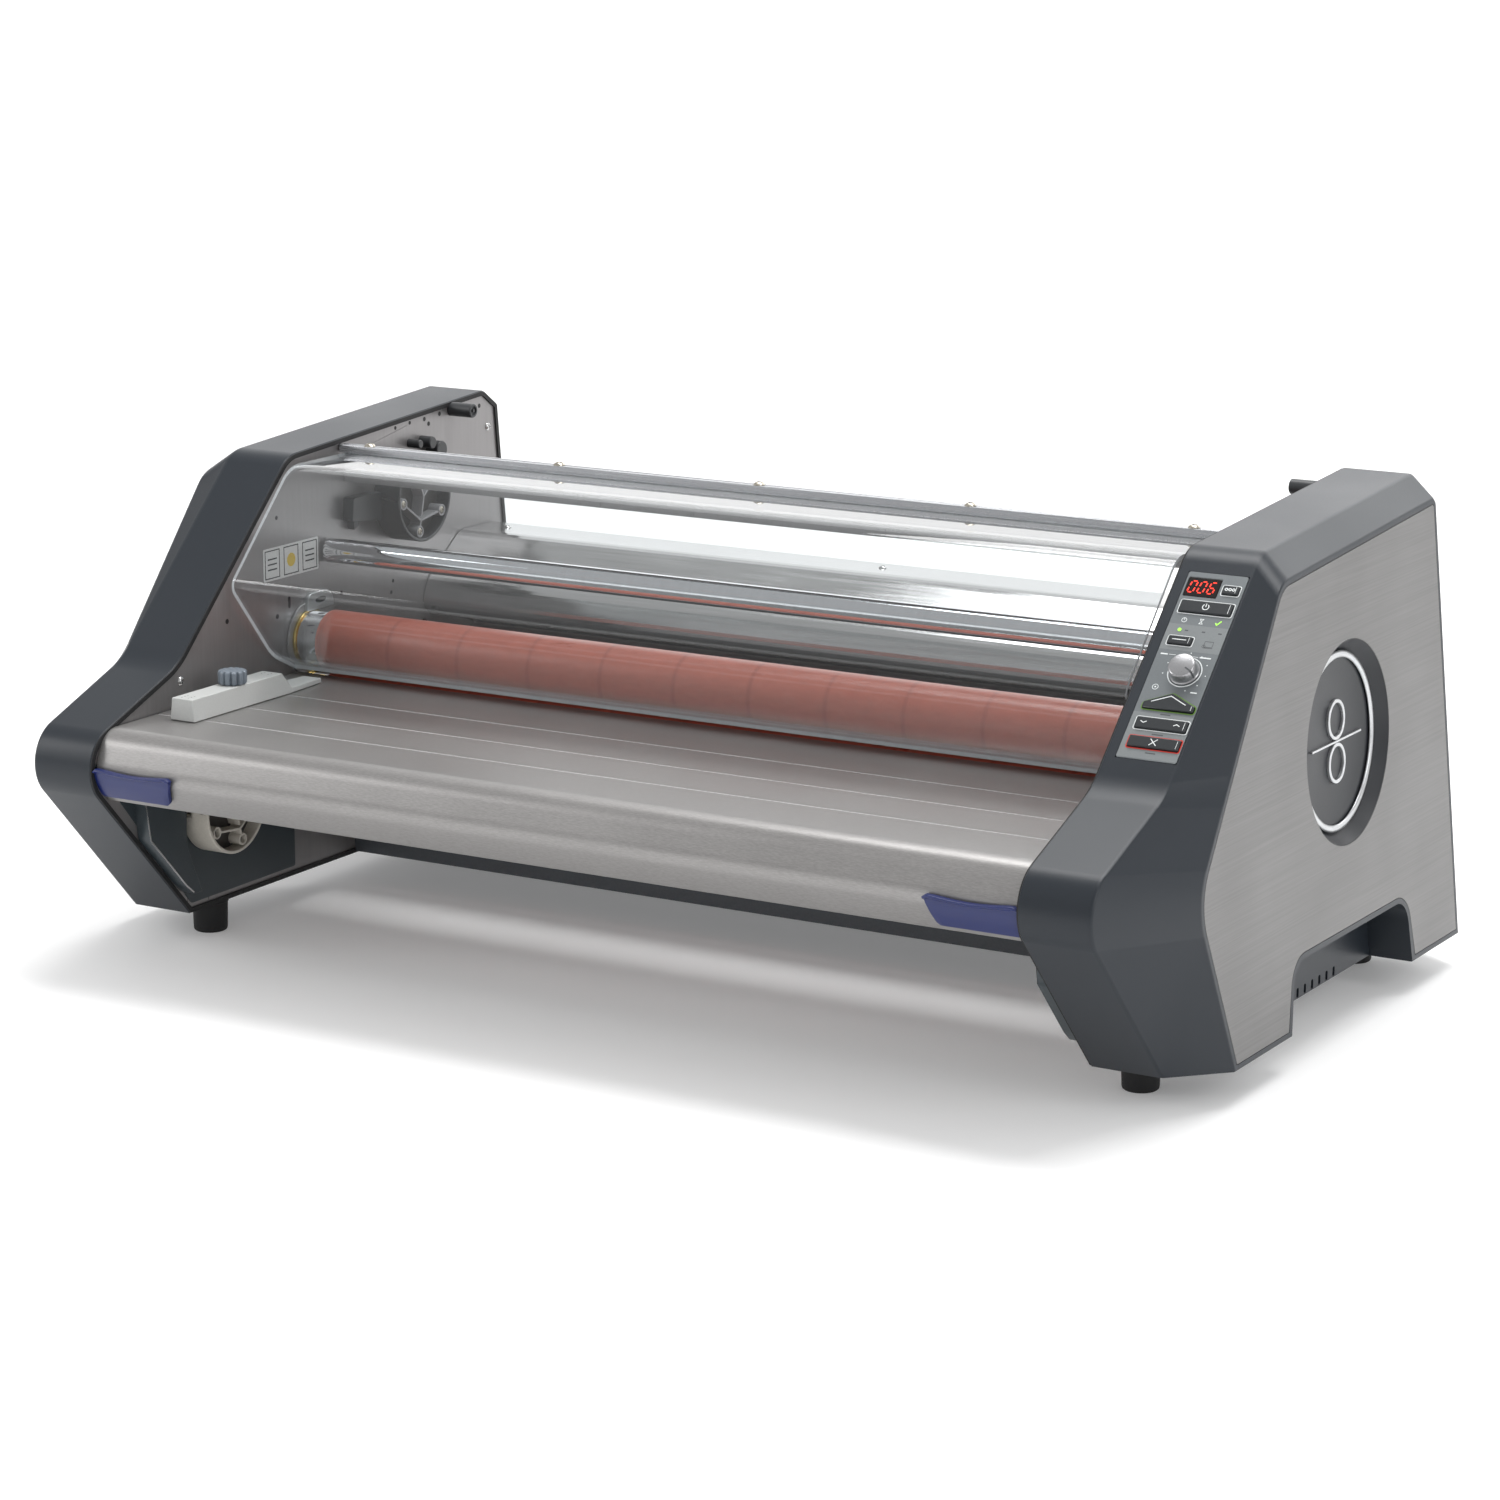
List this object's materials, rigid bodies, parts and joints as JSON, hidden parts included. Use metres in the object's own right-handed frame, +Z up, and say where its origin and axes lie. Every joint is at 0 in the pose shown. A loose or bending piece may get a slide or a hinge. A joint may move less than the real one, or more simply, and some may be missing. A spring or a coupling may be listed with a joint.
{
  "type": "roll laminator",
  "caption": "Tabletop roll laminator with two moulded end covers, heated rollers, feed table with side guide, clear hinged shield and sloping control panel.",
  "frame": {"origin": "on the floor, at the middle of the machine's length and depth", "axes": "+X along the rollers towards the control panel end, +Y from the feed side to the exit side, +Z up"},
  "size_m": [0.9192, 0.5609, 0.3671],
  "materials": {
    "charcoal_plastic": "moulded, fine texture",
    "brushed_skin": "brushed along the length",
    "satin_steel": "satin",
    "painted_steel": "satin paint",
    "chrome": "polished",
    "silicone_rubber": "smooth heat-resistant silicone",
    "grey_rubber": "ground rubber",
    "brass": "turned",
    "brushed_aluminium": "brushed",
    "clear_acrylic": "clear sheet",
    "blue_plastic": "moulded",
    "pale_plastic": "moulded",
    "grey_plastic": "moulded",
    "cream_plastic": "moulded",
    "key_plastic": "moulded",
    "black_rubber": "matt",
    "circuit_board": "solder mask"
  },
  "bodies": {
    "frame": {"base_pan": "painted_steel", "control_board": "circuit_board", "control_plate": "brushed_skin", "display": "key_plastic", "drive_motor": "satin_steel", "left_badge_cup": "charcoal_plastic", "right_badge_cup": "charcoal_plastic", "left_badge_ring": "chrome", "right_badge_ring": "chrome", "left_cover": "charcoal_plastic", "right_cover": "charcoal_plastic", "left_skin": "brushed_skin", "right_skin": "brushed_skin", "left_side_plate": "satin_steel", "right_side_plate": "satin_steel", "left_front_foot": "black_rubber", "left_rear_foot": "black_rubber", "right_front_foot": "black_rubber", "right_rear_foot": "black_rubber", "left_upper_bushing": "brass", "left_lower_bushing": "brass", "right_upper_bushing": "brass", "right_lower_bushing": "brass", "upper_heater": "cream_plastic", "lower_heater": "cream_plastic", "rear_cover": "satin_steel", "rear_panel": "painted_steel", "power_inlet": "key_plastic", "upper_tie_bar": "satin_steel"},
    "upper_heat_roller": {"upper_heat_roller": "chrome", "upper_heat_roller_sleeve": "silicone_rubber"},
    "lower_heat_roller": {"lower_heat_roller": "chrome", "lower_heat_roller_sleeve": "silicone_rubber"},
    "shield": {"shield": "clear_acrylic", "shield_rail": "brushed_aluminium"},
    "upper_pull_roller": {"upper_pull_roller": "grey_rubber"},
    "lower_pull_roller": {"lower_pull_roller": "grey_rubber"},
    "front_idler_gear": {"front_idler_gear": "cream_plastic"},
    "rear_idler_gear": {"rear_idler_gear": "cream_plastic"},
    "motor_pinion": {"motor_pinion": "brass"},
    "upper_idler_bar": {"upper_idler_bar": "chrome"},
    "lower_idler_bar": {"lower_idler_bar": "chrome"},
    "left_upper_hub": {"left_upper_hub": "grey_plastic"},
    "right_upper_hub": {"right_upper_hub": "grey_plastic"},
    "left_lower_hub": {"left_lower_hub": "cream_plastic"},
    "right_lower_hub": {"right_lower_hub": "cream_plastic"},
    "feed_table": {"feed_table": "brushed_aluminium"},
    "left_latch": {"left_latch": "blue_plastic"},
    "right_latch": {"right_latch": "blue_plastic"},
    "side_guide": {"side_guide": "pale_plastic"},
    "guide_knob": {"guide_knob": "grey_plastic"},
    "speed_knob": {"speed_knob": "brushed_aluminium"},
    "power_button": {"power_button": "key_plastic"},
    "counter_button": {"counter_button": "key_plastic"},
    "film_button": {"film_button": "key_plastic"},
    "run_button": {"run_button": "key_plastic"},
    "stop_button": {"stop_button": "key_plastic"},
    "slow_rocker": {"slow_rocker": "key_plastic"},
    "rear_switch": {"rear_switch": "key_plastic"}
  },
  "joints": [
    {"name": "upper_heat_spin", "type": "hinge", "parent": "frame", "child": "upper_heat_roller", "pos_m": [0, -0.015, 0.2065], "axis": [1, 0, 0], "continuous": true},
    {"name": "lower_heat_spin", "type": "hinge", "parent": "frame", "child": "lower_heat_roller", "pos_m": [0, -0.015, 0.1585], "axis": [1, 0, 0], "continuous": true},
    {"name": "upper_pull_spin", "type": "hinge", "parent": "frame", "child": "upper_pull_roller", "pos_m": [0, 0.20056, 0.2025], "axis": [1, 0, 0], "continuous": true},
    {"name": "lower_pull_spin", "type": "hinge", "parent": "frame", "child": "lower_pull_roller", "pos_m": [0, 0.20056, 0.1625], "axis": [1, 0, 0], "continuous": true},
    {"name": "front_idler_spin", "type": "hinge", "parent": "frame", "child": "front_idler_gear", "pos_m": [0, 0.05163, 0.1721], "axis": [1, 0, 0], "continuous": true},
    {"name": "rear_idler_spin", "type": "hinge", "parent": "frame", "child": "rear_idler_gear", "pos_m": [0, 0.13785, 0.1897], "axis": [1, 0, 0], "continuous": true},
    {"name": "motor_pinion_spin", "type": "hinge", "parent": "frame", "child": "motor_pinion", "pos_m": [0, 0.06163, 0.117], "axis": [1, 0, 0], "continuous": true},
    {"name": "upper_idler_bar_spin", "type": "hinge", "parent": "frame", "child": "upper_idler_bar", "pos_m": [0, 0.01, 0.271], "axis": [1, 0, 0], "continuous": true},
    {"name": "lower_idler_bar_spin", "type": "hinge", "parent": "frame", "child": "lower_idler_bar", "pos_m": [0, -0.07, 0.118], "axis": [1, 0, 0], "continuous": true},
    {"name": "left_upper_hub_spin", "type": "hinge", "parent": "frame", "child": "left_upper_hub", "pos_m": [0, 0.107, 0.3], "axis": [1, 0, 0], "continuous": true},
    {"name": "left_lower_hub_spin", "type": "hinge", "parent": "frame", "child": "left_lower_hub", "pos_m": [0, -0.1425, 0.1035], "axis": [1, 0, 0], "continuous": true},
    {"name": "right_upper_hub_spin", "type": "hinge", "parent": "frame", "child": "right_upper_hub", "pos_m": [0, 0.107, 0.3], "axis": [1, 0, 0], "continuous": true},
    {"name": "right_lower_hub_spin", "type": "hinge", "parent": "frame", "child": "right_lower_hub", "pos_m": [0, -0.1425, 0.1035], "axis": [1, 0, 0], "continuous": true},
    {"name": "shield_hinge", "type": "hinge", "parent": "frame", "child": "shield", "pos_m": [0, 0.0305, 0.3474], "axis": [-1, 0, 0], "range_deg": [0, 80]},
    {"name": "feed_table_slide", "type": "slide", "parent": "frame", "child": "feed_table", "axis": [0, -1, 0], "range_m": [0, 0.08]},
    {"name": "left_latch_hinge", "type": "hinge", "parent": "feed_table", "child": "left_latch", "pos_m": [0, -0.2655, 0.1345], "axis": [1, 0, 0], "range_deg": [0, 12], "stiffness_Nm_per_rad": 0.3, "springref_deg": -5.73},
    {"name": "right_latch_hinge", "type": "hinge", "parent": "feed_table", "child": "right_latch", "pos_m": [0, -0.2655, 0.1345], "axis": [1, 0, 0], "range_deg": [0, 12], "stiffness_Nm_per_rad": 0.3, "springref_deg": -5.73},
    {"name": "side_guide_slide", "type": "slide", "parent": "feed_table", "child": "side_guide", "axis": [1, 0, 0], "range_m": [-0.012, 0.66]},
    {"name": "guide_knob_turn", "type": "hinge", "parent": "side_guide", "child": "guide_knob", "pos_m": [-0.34, -0.154, 0.2055], "axis": [0, 0, 1], "range_deg": [-180, 180]},
    {"name": "speed_knob_turn", "type": "hinge", "parent": "frame", "child": "speed_knob", "pos_m": [0.4047, -0.10867, 0.28151], "axis": [0, -0.696, 0.718], "range_deg": [-135, 135]},
    {"name": "power_press", "type": "slide", "parent": "frame", "child": "power_button", "axis": [0, 0.696, -0.718], "range_m": [0, 0.001], "stiffness_N_per_m": 400, "springref_m": -0.0003},
    {"name": "counter_press", "type": "slide", "parent": "frame", "child": "counter_button", "axis": [0, 0.696, -0.718], "range_m": [0, 0.001], "stiffness_N_per_m": 400, "springref_m": -0.0003},
    {"name": "film_press", "type": "slide", "parent": "frame", "child": "film_button", "axis": [0, 0.696, -0.718], "range_m": [0, 0.001], "stiffness_N_per_m": 400, "springref_m": -0.0003},
    {"name": "run_press", "type": "slide", "parent": "frame", "child": "run_button", "axis": [0, 0.696, -0.718], "range_m": [0, 0.001], "stiffness_N_per_m": 400, "springref_m": -0.0003},
    {"name": "stop_press", "type": "slide", "parent": "frame", "child": "stop_button", "axis": [0, 0.696, -0.718], "range_m": [0, 0.001], "stiffness_N_per_m": 400, "springref_m": -0.0003},
    {"name": "slow_rocker_tilt", "type": "hinge", "parent": "frame", "child": "slow_rocker", "pos_m": [0.40325, -0.13856, 0.251], "axis": [0, 0.718, 0.696], "range_deg": [-3, 3], "stiffness_Nm_per_rad": 0.05},
    {"name": "rear_switch_tilt", "type": "hinge", "parent": "frame", "child": "rear_switch", "pos_m": [-0.272, 0.256, 0.0675], "axis": [1, 0, 0], "range_deg": [-8, 8]}
  ],
  "couplings": [
    {"joint": "lower_heat_spin", "follows": "upper_heat_spin", "ratio": -1},
    {"joint": "front_idler_spin", "follows": "upper_heat_spin", "ratio": 0.54546},
    {"joint": "rear_idler_spin", "follows": "upper_heat_spin", "ratio": -0.54546},
    {"joint": "upper_pull_spin", "follows": "upper_heat_spin", "ratio": 1.2},
    {"joint": "lower_pull_spin", "follows": "upper_heat_spin", "ratio": -1.2},
    {"joint": "motor_pinion_spin", "follows": "upper_heat_spin", "ratio": -2}
  ]
}
